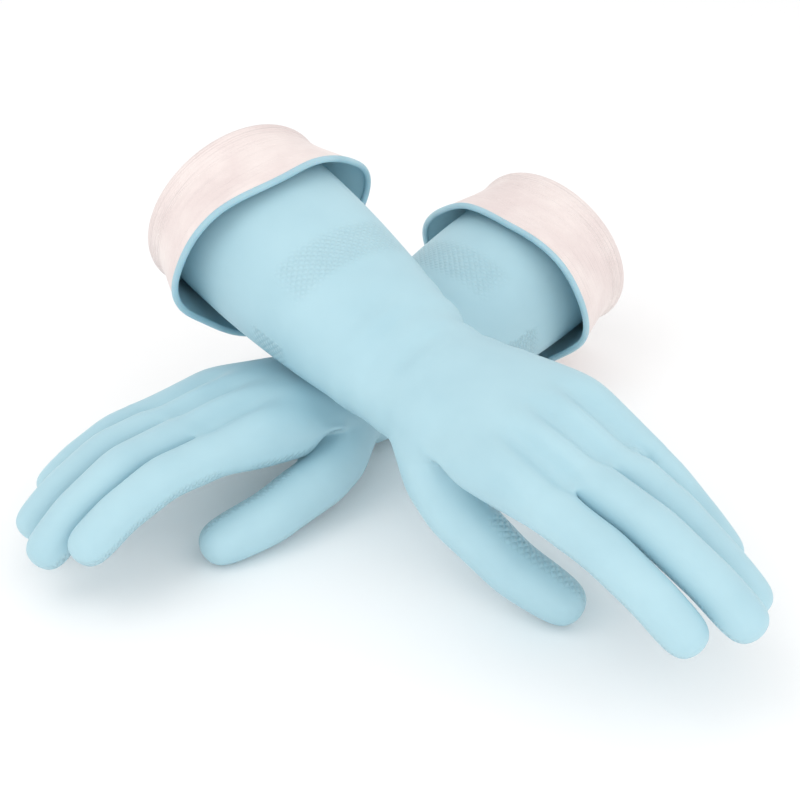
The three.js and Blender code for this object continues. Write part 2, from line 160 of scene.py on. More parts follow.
# The pieces that a glove is divided into, by the number that its faces carry.
pieceNames = ["sleeve", "hand", "index", "indexEnd", "middle", "middleEnd", "ring", "ringEnd",
              "little", "littleEnd", "thumb", "thumbEnd"]


# Extrudes what the ring's vertices span, puts the new vertices at their places, and gives the
# new faces the number of the piece that they belong to.
def pull(piece, ring, places, part, withFaces=False):
    bpy.ops.mesh.select_all(action="DESELECT")
    work = bmesh.from_edit_mesh(piece.data)
    work.verts.ensure_lookup_table()
    chosen = {work.verts[i] for i in ring}
    for vert in chosen:
        vert.select_set(True)
    for edge in work.edges:
        if all(v in chosen for v in edge.verts) and (withFaces or len(edge.link_faces) < 2):
            edge.select_set(True)
    for face in work.faces:
        if withFaces and all(v in chosen for v in face.verts):
            face.select_set(True)
    bmesh.update_edit_mesh(piece.data)
    old = [corner(work.verts[i].co) for i in ring]
    bpy.ops.mesh.extrude_region_move()
    work = bmesh.from_edit_mesh(piece.data)
    work.verts.ensure_lookup_table()
    fresh = {corner(v.co): v for v in work.verts if v.select}
    made = [fresh[key] for key in old]
    for vert, place in zip(made, places):
        vert.co = place
    for face in {face for vert in made for face in vert.link_faces}:
        face.material_index = pieceNames.index(part)
    work.verts.index_update()
    bmesh.update_edit_mesh(piece.data)
    return [vert.index for vert in made]


# Twenty vertices go once round the sleeve and the palm: 0 on the little finger's side, 1 to 9
# across the back, 10 on the index finger's side, 11 to 19 across the palm.
ringCount = 20
backVerts = [9 - i for i in range(9)]
palmVerts = [11 + i for i in range(9)]
fingerNames = list(stalls)


# A smooth ring drawn through fewer points comes out smaller, by this much.
def fullness(count):
    return 3 / (2 + math.cos(2 * math.pi / count))


def at(place, side, x, y, z):
    return place @ Vector((x, y * side, z))


# square flattens the oval a little into a rounded box.
def ovalRing(place, side, x, width, height, square=0.0):
    grow = fullness(ringCount)
    points = []
    for i in range(ringCount):
        angle = 2 * math.pi * i / ringCount
        across, rise = math.cos(angle), math.sin(angle)
        corner = 1 + square * (2 * across * rise) ** 2
        y, z = width * grow * across * corner, height * grow * rise * corner
        points.append(at(place, side, x, y, z))
    return points


# A ring of the turned-back cuff. Towards its rim it waves, and it flares out and is shorter at
# the sides: on the little finger's side and on the index finger's side.
def cuffRing(glove, place, share, x, width, height):
    ring = []
    grow = fullness(ringCount)
    for i in range(ringCount):
        angle = 2 * math.pi * i / ringCount
        across, rise = math.cos(angle), math.sin(angle)
        out, short = glove["littleFlare"] if across > 0 else glove["indexFlare"]
        shifted = angle - math.radians(glove["wavePhase"])
        swing = cuff["wideWaves"] * math.cos(3 * shifted - math.radians(75))
        swing += cuff["shortWaves"] * math.cos(6 * shifted - math.radians(60))
        sideways = abs(across) ** 1.5
        y = (width * grow + (swing + out * sideways) * share) * across
        z = (height * grow + swing * share) * rise
        ring.append(at(place, glove["side"], x - short * sideways * share, y, z))
    return ring


# The palm is a rounded box. Its rings run a little wide, as smoothing draws them in.
palmBox = dict(roundness=2.6, widen=1.015, heighten=1.02)


# A ring of the palm, part of the way from an oval to the columns that the stalls grow from.
def palmRing(place, side, x, width, height, share):
    points = []
    columns = stallColumns()
    power = palmBox["roundness"]
    for i in range(ringCount):
        angle = 2 * math.pi * i / ringCount
        y, z = width * math.cos(angle), height * math.sin(angle)
        if i in backVerts or i in palmVerts:
            column = columns[backVerts.index(i) if i in backVerts else palmVerts.index(i)]
            across = min(abs(column) / (hand["palmWidth"] - 1), 1)
            squareZ = height * (1 - across**power) ** (1 / power)
            y = mix(y, column * width / hand["palmWidth"], share)
            z = mix(z, squareZ if i in backVerts else -squareZ, share)
        points.append(at(place, side, x, y * palmBox["widen"], z * palmBox["heighten"]))
    return points


def stallColumns():
    centres = [stalls[name]["knuckle"][1] for name in fingerNames]
    columns = [centres[0] - 8]
    for i, centre in enumerate(centres):
        columns.append(centre)
        following = centres[i + 1] if i < 3 else centre + 14
        columns.append((centre + following) / 2)
    return columns


# A ring of eight round a stall: 0 faces the next stall, then over its back and under its palm side.
def stallRing(place, side, x, radius):
    grow = fullness(8)
    ring = []
    for i in range(8):
        angle = math.pi * i / 4
        y, z = radius * grow * math.cos(angle), radius * grow * math.sin(angle)
        ring.append(at(place, side, x, y, z))
    return ring


# The row where palm and stalls meet, built from the stalls, with shared points between them.
def sharedRow(frames, side, part, x, topScale, palmScale):
    rings = []
    grow = fullness(8)
    for name in fingerNames:
        radius = stalls[name]["radius"]
        points = []
        for i in range(8):
            angle = math.pi * i / 4
            high = math.sin(angle) * (topScale if angle < math.pi else palmScale)
            y, z = radius * grow * math.cos(angle), radius * grow * high
            points.append(at(frames[name][part], side, x, y, z))
        rings.append(points)
    outer = {}
    outer[0] = rings[3][0]
    outer[10] = rings[0][4]
    for i in range(9):
        finger, column = divmod(i, 2)
        if column == 1:
            top, under = rings[finger][2], rings[finger][6]
        elif i == 0:
            top, under = rings[0][3], rings[0][5]
        elif i == 8:
            top, under = rings[3][1], rings[3][7]
        else:
            top = (rings[finger - 1][1] + rings[finger][3]) / 2
            under = (rings[finger - 1][7] + rings[finger][5]) / 2
        outer[backVerts[i]] = top
        outer[palmVerts[i]] = under
    webs = [(rings[i][0] + rings[i + 1][4]) / 2 for i in range(3)]
    centres = [at(frames[name][part], side, x, 0, 0) for name in fingerNames]
    return [outer[i] for i in range(ringCount)], webs, centres


# The fold's rows: how far along from the sleeve's end, and how far out from the sleeve.
foldRows = (-1.0, 4.6), (-2.8, 3.4), (-3.2, 1.9), (-2.4, 0.6), (-0.8, 0.0)
cuffShares = 1, 0.8, 0.55, 0.3, 0.1
sleevePlaces = -139, -130, -115, -98, -80, -62, -45, -30, -16


# The rows of a glove from the rim of its turned-back cuff, round the fold, to the wrist.
def sleeveRows(glove, frames):
    side = glove["side"]
    rows = []
    outerX = cuff["foldInset"] - sleeve["length"]
    for share in cuffShares:
        out = 2 * cuff["foldRadius"] + cuff["flare"] * share**1.3 - film["thickness"]
        out -= cuff["waist"] * math.sin(math.pi * min(share / 0.7, 1))
        width, height = sleeve["foldWidth"] + out, sleeve["foldHeight"] + out
        x = outerX + (cuff["length"] - cuff["foldInset"]) * share
        rows.append(cuffRing(glove, frames["sleeve"], share, x, width, height))
    for x, out in foldRows:
        width, height = sleeve["foldWidth"] + out, sleeve["foldHeight"] + out
        rows.append(ovalRing(frames["sleeve"], side, outerX + x, width, height))
    for x in sleevePlaces:
        swell = math.sin(-x / sleeve["length"] * math.pi / 2)
        width = mix(sleeve["wristWidth"], sleeve["foldWidth"], swell)
        height = mix(sleeve["wristHeight"], sleeve["foldHeight"], swell)
        square = sleeve["square"] * math.sin(-x / sleeve["length"] * math.pi)
        rows.append(ovalRing(frames["sleeve"], side, x, width, height, square))
    return rows


# The palm's rows: distance from the wrist, half width, half height, and how near the stalls' columns.
palmPlaces = (
    (16, 34.5, 22, 0.25), (33, 37.5, 20, 0.5), (51, 40.5, 18, 0.75),
    (68, hand["palmWidth"], hand["palmHeight"], 0.95),
)


# The rows from the wrist to just behind the knuckles.
def palmRows(glove, frames):
    side = glove["side"]
    rows = [palmRing(frames["wrist"], side, 0, sleeve["wristWidth"], sleeve["wristHeight"], 0.1)]
    for x, width, height, share in palmPlaces:
        rows.append(palmRing(frames["palm"], side, x, width, height, share))
    rows.append(sharedRow(frames, side, "knuckle", -7, 1.3, 1.5)[0])
    return rows


# One open mesh of a whole glove, which smoothing then rounds.
def buildCage(glove):
    frames = gloveFrames(glove)
    side = glove["side"]
    rows = sleeveRows(glove, frames) + palmRows(glove, frames)
    bpy.ops.mesh.primitive_circle_add(vertices=ringCount)
    cage = bpy.context.object
    cage.name = glove["name"] + "_glove"
    bpy.ops.object.mode_set(mode="EDIT")
    work = bmesh.from_edit_mesh(cage.data)
    for vert, place in zip(work.verts, rows[0]):
        vert.co = place
    bmesh.update_edit_mesh(cage.data)
    ring = list(range(ringCount))
    rings = [ring]
    handRow = len(sleeveRows(glove, frames)) + 2
    for number, places in enumerate(rows[1:], 1):
        ring = pull(cage, ring, places, "sleeve" if number < handRow else "hand")
        rings.append(ring)
    webRow, webs, centres = sharedRow(frames, side, "lower", hand["stallStart"] - 2, 0.95, 0.95)
    ring = pull(cage, ring, webRow, "hand")
    rings.append(ring)
    # The front of the palm, closed by four faces for each stall.
    work = bmesh.from_edit_mesh(cage.data)
    work.verts.ensure_lookup_table()
    outer = [work.verts[i] for i in ring]
    webVerts = [outer[10]] + [work.verts.new(p) for p in webs] + [outer[0]]
    centreVerts = [work.verts.new(p) for p in centres]
    loops = []
    for k in range(4):
        top = [outer[backVerts[2 * k + j]] for j in range(3)]
        under = [outer[palmVerts[2 * k + j]] for j in range(3)]
        near, far, middle = webVerts[k], webVerts[k + 1], centreVerts[k]
        for quad in (
            (top[0], top[1], middle, near), (top[1], top[2], far, middle),
            (near, middle, under[1], under[0]), (middle, far, under[2], under[1]),
        ):
            work.faces.new(quad)
        loops.append([far, top[2], top[1], top[0], near, under[0], under[1], under[2], middle])
    work.verts.index_update()
    loops = [[vert.index for vert in loop] for loop in loops]
    bmesh.update_edit_mesh(cage.data)
    for name, loop in zip(fingerNames, loops):
        pullStall(cage, loop, frames[name], side, name)
    pullThumb(cage, rings, frames["thumb"], side)
    bpy.ops.mesh.select_all(action="SELECT")
    bpy.ops.mesh.normals_make_consistent(inside=False)
    work = bmesh.from_edit_mesh(cage.data)
    work.faces.ensure_lookup_table()
    toSleeve = frames["sleeve"].inverted()
    edge = next(f for f in work.faces if -60 < (toSleeve @ f.calc_center_median()).x < -50)
    outward = toSleeve.to_3x3() @ edge.normal
    middle = toSleeve @ edge.calc_center_median()
    if outward.y * middle.y + outward.z * middle.z < 0:
        bpy.ops.mesh.flip_normals()
    bpy.ops.object.mode_set(mode="OBJECT")
    return cage, frames


# A finger's middle joint bends over this length on each side of its hinge, and a thumb's over this.
jointHalf = 9
thumbJointHalf = 10


# Pulls a finger stall out of its eight vertices and the one between them.
def pullStall(cage, loop, places, side, name):
    stall = stalls[name]
    radius = stall["radius"]
    first, second, third = stall["bones"]
    start = hand["stallStart"]
    beforeJoint = first - jointHalf
    steps = [
        ("lower", start + 6, 1.0), ("lower", mix(start + 6, beforeJoint, 0.55), 0.985),
        ("lower", beforeJoint, 0.97),
        ("middle", 0, 0.985), ("upper", 9, 0.965), ("upper", second - 7, 0.95),
        ("endJoint", 0, 0.95), ("tip", 6, 0.95), ("tip", third - 1, 0.95),
        ("tip", third + radius * 0.48, 0.83), ("tip", third + radius * 0.8, 0.5),
    ]
    ring = loop
    for part, x, scale in steps:
        points = stallRing(places[part], side, x, radius * scale)
        points.append(at(places[part], side, x, 0, 0))
        ring = pull(cage, ring, points, name if part == "lower" else name + "End", withFaces=True)
    domeTip(cage, ring, at(places["tip"], side, third + radius * 0.98, 0, 0))


# Moves the last vertex out, which closes the tip as a dome.
def domeTip(cage, ring, place):
    work = bmesh.from_edit_mesh(cage.data)
    work.verts.ensure_lookup_table()
    work.verts[ring[-1]].co = place
    bmesh.update_edit_mesh(cage.data)


# Pulls the thumb out of four faces of the palm, turned so that its rings don't twist.
def pullThumb(cage, rings, places, side):
    rows = rings[-6], rings[-5], rings[-4]
    columns = 10, 11, 12
    around = [(0, 0), (1, 0), (2, 0), (2, 1), (2, 2), (1, 2), (0, 2), (0, 1)]
    loop = [rows[r][columns[c]] for r, c in around] + [rows[1][columns[1]]]
    work = bmesh.from_edit_mesh(cage.data)
    work.verts.ensure_lookup_table()
    toBase = places["base"].inverted()
    angles = []
    for i in loop[:8]:
        local = toBase @ work.verts[i].co
        angles.append(math.atan2(local.z, local.y * side))
    swept = sum(math.sin(angles[i] - angles[i - 1]) for i in range(8))
    step = math.copysign(math.pi / 4, swept)
    offset = math.atan2(sum(math.sin(a - i * step) for i, a in enumerate(angles)),
                        sum(math.cos(a - i * step) for i, a in enumerate(angles)))
    second, third = thumb["bones"][1:]
    start = hand["thumbStart"]
    steps = [
        ("base", 15, 16.5, 17), ("base", 28, 14.6, 14.6), ("knuckle", 0, 13.6, 13.4),
        ("lower", start, 12.9, 12.7), ("lower", second - thumbJointHalf, 12.4, 12.2),
        ("middle", 0, 12.3, 12.1), ("upper", 10, 11.9, 11.7), ("upper", third - 2, 11.2, 11.0),
        ("upper", third + 5.2, 9.4, 9.3), ("upper", third + 8.8, 5.4, 5.4),
    ]
    grow = fullness(8)
    ring = loop
    for part, x, width, height in steps:
        points = []
        for i in range(8):
            angle = offset + i * step
            y, z = width * grow * math.cos(angle), height * grow * math.sin(angle)
            points.append(at(places[part], side, x, y, z))
        points.append(at(places[part], side, x, 0, 0))
        if part in ("base", "knuckle") or x == start:
            label = "hand"
        else:
            label = "thumb" if part == "lower" else "thumbEnd"
        ring = pull(cage, ring, points, label, withFaces=True)
    domeTip(cage, ring, at(places["upper"], side, third + 10.8, 0, 0))


# Distances and directions of a mesh's points in a frame, in millimetres.
def inFrame(points, place):
    back = np.array(place.inverted())
    return points @ back[:3, :3].T + back[:3, 3]


def meshPoints(piece):
    points = np.empty(len(piece.data.vertices) * 3)
    piece.data.vertices.foreach_get("co", points)
    return points.reshape(-1, 3)


def setPoints(piece, points):
    piece.data.vertices.foreach_set("co", points.ravel())
    piece.data.update()


def pointNormals(piece):
    normals = np.empty(len(piece.data.vertices) * 3)
    piece.data.vertex_normals.foreach_get("vector", normals)
    return normals.reshape(-1, 3)


# Which piece each point belongs to: the lowest number among its faces.
def pointParts(piece):
    numbers = np.full(len(piece.data.vertices), 99)
    for face in piece.data.polygons:
        for vert in face.vertices:
            numbers[vert] = min(numbers[vert], face.material_index)
    return numbers


def setAttribute(piece, name, kind, values):
    layer = piece.data.attributes.get(name) or piece.data.attributes.new(name, kind, "POINT")
    field = "value" if kind == "FLOAT" else "vector"
    layer.data.foreach_set(field, np.asarray(values, dtype=np.float32).ravel())


def getVectors(piece, name):
    values = np.empty(len(piece.data.vertices) * 3, dtype=np.float32)
    piece.data.attributes[name].data.foreach_get("vector", values)
    return values.reshape(-1, 3)


def ramp(values, low, high):
    share = np.clip((values - low) / (high - low), 0, 1)
    return share * share * (3 - 2 * share)


# The soft forms of the back of the hand: a valley runs back from between each two stalls, there
# is a hollow between thumb and index finger, and the wrist has a few slack folds.
modelling = dict(valleyDepth=4.0, valleyHalf=5.4, hollowDepth=3.0, foldDepth=0.8)
# Where the film is smoothed between thumb and index finger, and how far that reaches each way.
web = dict(place=(42, -36, -4), reach=(17, 12, 13), passes=70)


def shapeSkin(piece, glove, frames, parts):
    side = glove["side"]
    points = meshPoints(piece) / mm
    normals = pointNormals(piece)
    local = inFrame(points, frames["palm"])
    x, y = local[:, 0], local[:, 1] * side
    facing = normals @ np.array(frames["palm"])[:3, 2]
    upward = ramp(facing, 0.2, 0.7)
    onHand = np.isin(parts, [pieceNames.index(n) for n in ("sleeve", "hand", *fingerNames)])
    depth = np.zeros(len(points))
    for first, second in zip(fingerNames, fingerNames[1:]):
        a, b = (np.array(stalls[n]["knuckle"]) for n in (first, second))
        middle = (a[1] + b[1]) / 2
        drift = middle * (1 + (x - a[0]) * 0.0025)
        across = np.exp(-(((y - drift) / modelling["valleyHalf"]) ** 2))
        along = ramp(x, 58, 86) * (1 - ramp(x, 104, 116))
        depth += modelling["valleyDepth"] * across * along * upward * onHand
    spot = np.exp(-(((x - 46) / 13) ** 2) - (((y + 34) / 8) ** 2))
    depth += modelling["hollowDepth"] * spot * ramp(facing, -0.2, 0.5) * onHand
    local = inFrame(points, frames["wrist"])
    x, y = local[:, 0], local[:, 1] * side
    near = np.exp(-(((x + 8) / 24) ** 2))
    folds = np.sin(x * 0.42 + y * 0.05) * np.sin(y * 0.07 + 1 + side) + 0.5 * np.sin(x * 0.23 - y * 0.11)
    depth += modelling["foldDepth"] * near * folds * onHand
    setPoints(piece, (points - normals * depth[:, None]) * mm)


# Softens the crease where the film spans from the thumb to the index finger's side.
def smoothWeb(piece, glove, frames):
    side = glove["side"]
    local = inFrame(meshPoints(piece) / mm, frames["palm"]) * (1, side, 1)
    weights = np.exp(-np.sum(((local - web["place"]) / web["reach"]) ** 2, axis=1))
    group = piece.vertex_groups.new(name="web")
    for index, weight in enumerate(weights):
        if weight > 0.05:
            group.add([index], min(1.0, float(weight) * 1.2), "REPLACE")
    activate(piece)
    smoothing = piece.modifiers.new("web", "SMOOTH")
    smoothing.vertex_group = "web"
    smoothing.factor = 0.5
    smoothing.iterations = web["passes"]
    bpy.ops.object.modifier_apply(modifier="web")
    piece.vertex_groups.remove(piece.vertex_groups["web"])


# A grip pattern covers the palm side of the hand and stalls and a band round the forearm.
# shade is painted shade: how much the colour is darkened in the grooves between the diamonds.
grip = dict(pitch=3.3, height=0.5, shade=0.055, bandHalf=11, bandSide=34)


# Gives each point of a piece its place on the skin in millimetres, along and around, and how much
# grip pattern there is. The place is counted from the middle of the patterned side.
def markSkin(piece, glove, frames, part):
    side = glove["side"]
    points = meshPoints(piece) / mm
    normals = pointNormals(piece)
    name = part.removesuffix("End")
    if part == "sleeve":
        local = inFrame(points, frames["sleeve"])
        around = np.arctan2(local[:, 1] * side, local[:, 2])
        away = np.abs(local[:, 0] - glove["gripBand"])
        cover = 1 - ramp(away, grip["bandHalf"] - 4, grip["bandHalf"] + 2)
        onBack = 1 - ramp(np.abs(local[:, 1]), grip["bandSide"] - 8, grip["bandSide"])
        onPalm = 1 - ramp(np.abs(around), 2.8, 3.0)
        cover *= np.where(local[:, 2] > 0, 0.7 * onBack, onPalm)
        skin = np.stack([local[:, 0], around * 40, around * 0], axis=1)
    elif part == "hand":
        local = inFrame(points, frames["palm"])
        downward = -(normals @ np.array(frames["palm"])[:3, 2])
        cover = ramp(downward, 0.25, 0.6) * ramp(local[:, 0], 18, 30) * (1 - ramp(local[:, 0], 90, 97))
        skin = local * (1, side, 0)
    else:
        place = frames[name]["lower" if part == name else "upper"]
        local = inFrame(points, place)
        onPad, across, rise = np.array(place)[:3, 1] * side, local[:, 1] * side, local[:, 2]
        bones, start = thumb["bones"][1:], hand["thumbStart"]
        if name != "thumb":
            onPad, across, rise = -np.array(place)[:3, 2], -local[:, 2], local[:, 1] * side
            bones, start = stalls[name]["bones"], hand["stallStart"]
        along = local[:, 0] + (0 if part == name else bones[0])
        cover = ramp(normals @ onPad, 0.0, 0.35) * ramp(along, start + 1, start + 7)
        skin = np.stack([along, np.arctan2(rise, across) * 10, along * 0], axis=1)
    setAttribute(piece, "skin", "FLOAT_VECTOR", skin)
    setAttribute(piece, "grip", "FLOAT", cover)


# A copy of a glove's mesh with only the chosen faces.
def takePart(whole, name, glove, frames, part):
    piece = bpy.data.objects.new(name, whole.data.copy())
    bpy.context.scene.collection.objects.link(piece)
    piece.data.name = name
    work = bmesh.new()
    work.from_mesh(piece.data)
    others = [face for face in work.faces if face.material_index != pieceNames.index(part)]
    bmesh.ops.delete(work, geom=others, context="FACES")
    work.to_mesh(piece.data)
    work.free()
    piece.data.polygons.foreach_set("material_index", [0] * len(piece.data.polygons))
    markSkin(piece, glove, frames, part)
    return piece


# Moves the sheet inwards by depth and gives it a wall. Its shading still follows the whole glove,
# so that neighbouring pieces meet without a line.
def giveWall(piece, depth, thickness):
    normals = getVectors(piece, "wholeNormal")
    setPoints(piece, meshPoints(piece) - normals * depth * mm)
    activate(piece)
    wall = piece.modifiers.new("wall", "SOLIDIFY")
    wall.thickness = thickness * mm
    wall.offset = -1
    wall.use_even_offset = False
    bpy.ops.object.modifier_apply(modifier="wall")
    normals = getVectors(piece, "wholeNormal")
    facing = np.sign(np.sum(normals * pointNormals(piece), axis=1))
    facing[facing == 0] = 1
    bpy.ops.object.shade_smooth()
    piece.data.normals_split_custom_set_from_vertices((normals * facing[:, None]).tolist())
    piece.data.attributes.remove(piece.data.attributes["wholeNormal"])


# The rolled edge: a round cord along the sheet's open rim.
def makeBead(sheet, name):
    work = bmesh.new()
    work.from_mesh(sheet.data)
    edges = [edge for edge in work.edges if len(edge.link_faces) == 1]
    start = edges[0].verts[0]
    loop, here, last = [start.co.copy()], edges[0].verts[1], edges[0]
    while here is not start:
        loop.append(here.co.copy())
        last = next(e for e in here.link_edges if len(e.link_faces) == 1 and e is not last)
        here = last.other_vert(here)
    work.free()
    shape = bpy.data.curves.new(name, "CURVE")
    shape.dimensions = "3D"
    spline = shape.splines.new("POLY")
    spline.points.add(len(loop) - 1)
    for point, place in zip(spline.points, loop):
        point.co = (*place, 1)
    spline.use_cyclic_u = True
    shape.bevel_depth = cuff["beadRadius"] * mm
    shape.bevel_resolution = 4
    bead = bpy.data.objects.new(name, shape)
    bpy.context.scene.collection.objects.link(bead)
    activate(bead)
    bpy.ops.object.convert(target="MESH")
    bpy.ops.object.shade_smooth()
    return bead


def linear(code):
    parts = [int(code[i:i + 2], 16) / 255 for i in (0, 2, 4)]
    return (*[v / 12.92 if v <= 0.04045 else ((v + 0.055) / 1.055) ** 2.4 for v in parts], 1)


# Adds a node: sockets holds what goes into each socket, a value or another node's output.
def addNode(tree, kind, sockets, **settings):
    node = tree.nodes.new("ShaderNode" + kind)
    for name, value in settings.items():
        setattr(node, name, value)
    for name, value in sockets.items():
        if isinstance(value, bpy.types.NodeSocket):
            tree.links.new(value, node.inputs[name])
        else:
            node.inputs[name].default_value = value
    return node


# What a Math node makes of one or two values.
def calculate(tree, operation, *values):
    return addNode(tree, "Math", dict(enumerate(values)), operation=operation).outputs[0]


# A material, its node tree and its main shader.
def newMaterial(name):
    material = bpy.data.materials.new(name)
    material.use_nodes = True
    return material, material.node_tree, material.node_tree.nodes["Principled BSDF"]


# A colour that drifts between a light and a deep tone in soft patches: the patches' noise, and
# the colour made from it.
def driftingColour(tree, place, look, scale, detail, low, high, **noise):
    patches = addNode(tree, "TexNoise", {"Vector": place, "Scale": scale, "Detail": detail, **noise})
    colour = addNode(tree, "ValToRGB", {"Fac": patches.outputs["Fac"]})
    deep, light = colour.color_ramp.elements
    deep.position, light.position = low, high
    deep.color, light.color = linear(look["deep"]), linear(look["light"])
    return patches.outputs["Fac"], colour.outputs["Color"]


rubberLook = dict(light="b1d4df", deep="a9cdd9", roughness=(0.42, 0.56), subsurface=0.12, specular=0.35)


# Natural latex dipped on a former: a soft, even satin film, faintly cloudy, with a moulded
# diamond grip where the attribute says so, its grooves darkened by painted shade.
def latexMaterial():
    look = rubberLook
    material, tree, shader = newMaterial("natural latex, dipped")
    place = addNode(tree, "TexCoord", {}).outputs["Object"]
    cloud, colour = driftingColour(tree, place, look, 28, 3, 0.3, 0.7, Roughness=0.5)
    fine = addNode(tree, "TexNoise", {"Vector": place, "Scale": 900, "Detail": 2})
    low, high = look["roughness"]
    gloss = addNode(tree, "MapRange", {"Value": cloud, "From Min": 0.3, "From Max": 0.7,
                                       "To Min": low, "To Max": high})
    tree.links.new(gloss.outputs["Result"], shader.inputs["Roughness"])
    skin = addNode(tree, "Attribute", {}, attribute_name="skin")
    cover = addNode(tree, "Attribute", {}, attribute_name="grip")
    waves = []
    for direction in ((1, 0.8, 0), (1, -0.8, 0)):
        along = addNode(tree, "VectorMath", {0: skin.outputs["Vector"], 1: direction},
                        operation="DOT_PRODUCT").outputs["Value"]
        phase = calculate(tree, "MULTIPLY", along, math.pi / grip["pitch"])
        waves.append(calculate(tree, "ABSOLUTE", calculate(tree, "SINE", phase)))
    diamonds = calculate(tree, "MULTIPLY", *waves)
    raised = calculate(tree, "MULTIPLY", diamonds, cover.outputs["Fac"])
    # Painted shade: the colour is darkened in the grooves between the diamonds, where the recesses fall
    # in shade.
    grooveShade = calculate(tree, "SUBTRACT", cover.outputs["Fac"], raised)
    value = calculate(tree, "SUBTRACT", 1.0, calculate(tree, "MULTIPLY", grooveShade, grip["shade"]))
    shaded = addNode(tree, "HueSaturation", {"Color": colour, "Value": value})
    tree.links.new(shaded.outputs["Color"], shader.inputs["Base Color"])
    pattern = addNode(tree, "Bump", {"Height": raised, "Strength": 1.0, "Distance": grip["height"] * mm})
    surface = addNode(tree, "Bump", {"Height": fine.outputs["Fac"], "Strength": 0.25,
                                     "Distance": 0.06 * mm, "Normal": pattern.outputs["Normal"]})
    tree.links.new(surface.outputs["Normal"], shader.inputs["Normal"])
    shader.inputs["Subsurface Weight"].default_value = look["subsurface"]
    shader.inputs["Subsurface Radius"].default_value = (0.8, 1.0, 1.2)
    shader.inputs["Subsurface Scale"].default_value = 0.002
    shader.inputs["Specular IOR Level"].default_value = look["specular"]
    shader.inputs["IOR"].default_value = 1.52
    return material


liningLook = dict(light="efe3df", deep="e4d5d2", roughness=0.95, sheen=0.25, linePitch=2.4)


# Cotton flock bonded to the film: matt and slightly furry, with faint creases along the fold.
def flockMaterial():
    look = liningLook
    material, tree, shader = newMaterial("cotton flock, bonded")
    place = addNode(tree, "TexCoord", {}).outputs["Object"]
    colour = driftingColour(tree, place, look, 40, 4, 0.35, 0.65)[1]
    tree.links.new(colour, shader.inputs["Base Color"])
    fibres = addNode(tree, "TexNoise", {"Vector": place, "Scale": 2200, "Detail": 3})
    skin = addNode(tree, "Attribute", {}, attribute_name="skin")
    stretched = addNode(tree, "VectorMath", {0: skin.outputs["Vector"], 1: (0.42, 0.018, 1)},
                        operation="MULTIPLY")
    creases = addNode(tree, "TexNoise", {"Vector": stretched.outputs["Vector"], "Scale": 1, "Detail": 2})
    fur = addNode(tree, "Bump", {"Height": fibres.outputs["Fac"], "Strength": 0.5,
                                 "Distance": 0.15 * mm})
    folds = addNode(tree, "Bump", {"Height": creases.outputs["Fac"], "Strength": 0.8,
                                   "Distance": 1.2 * mm, "Normal": fur.outputs["Normal"]})
    # Fine lines run beside the fold, where the lining was pressed flat.
    along = addNode(tree, "SeparateXYZ", {"Vector": skin.outputs["Vector"]})
    turns = calculate(tree, "MULTIPLY", along.outputs["X"], 2 * math.pi / look["linePitch"])
    lines = calculate(tree, "SINE", turns)
    edge = -sleeve["length"] + cuff["foldInset"]
    near = addNode(tree, "MapRange", {"Value": along.outputs["X"], "From Min": edge + 4,
                                      "From Max": edge + 12, "To Min": 1.0, "To Max": 0.0})
    ribs = calculate(tree, "MULTIPLY", lines, near.outputs["Result"])
    ribbed = addNode(tree, "Bump", {"Height": ribs, "Strength": 0.8, "Distance": 0.25 * mm,
                                    "Normal": folds.outputs["Normal"]})
    tree.links.new(ribbed.outputs["Normal"], shader.inputs["Normal"])
    shader.inputs["Roughness"].default_value = look["roughness"]
    shader.inputs["Sheen Weight"].default_value = look["sheen"]
    shader.inputs["Specular IOR Level"].default_value = 0.2
    return material


beadLook = dict(light="a8ccd8", deep="9ec4d1", roughness=0.45)


# The same latex rolled into a cord, thicker and so a little deeper in colour.
def beadMaterial():
    look = beadLook
    material, tree, shader = newMaterial("natural latex, rolled")
    place = addNode(tree, "TexCoord", {}).outputs["Object"]
    colour = driftingColour(tree, place, look, 60, 3, 0.35, 0.65)[1]
    tree.links.new(colour, shader.inputs["Base Color"])
    grain = addNode(tree, "TexNoise", {"Vector": place, "Scale": 700, "Detail": 2})
    surface = addNode(tree, "Bump", {"Height": grain.outputs["Fac"], "Strength": 0.3,
                                     "Distance": 0.1 * mm})
    tree.links.new(surface.outputs["Normal"], shader.inputs["Normal"])
    shader.inputs["Roughness"].default_value = look["roughness"]
    shader.inputs["Subsurface Weight"].default_value = 0.1
    shader.inputs["Subsurface Scale"].default_value = 0.002
    return material


# Gives a piece its material.
def dress(piece, material):
    piece.data.materials.clear()
    piece.data.materials.append(material)


# Bakes a piece's placement into its mesh.
def bendPiece(piece, first, second, place, start, end):
    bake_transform(piece)
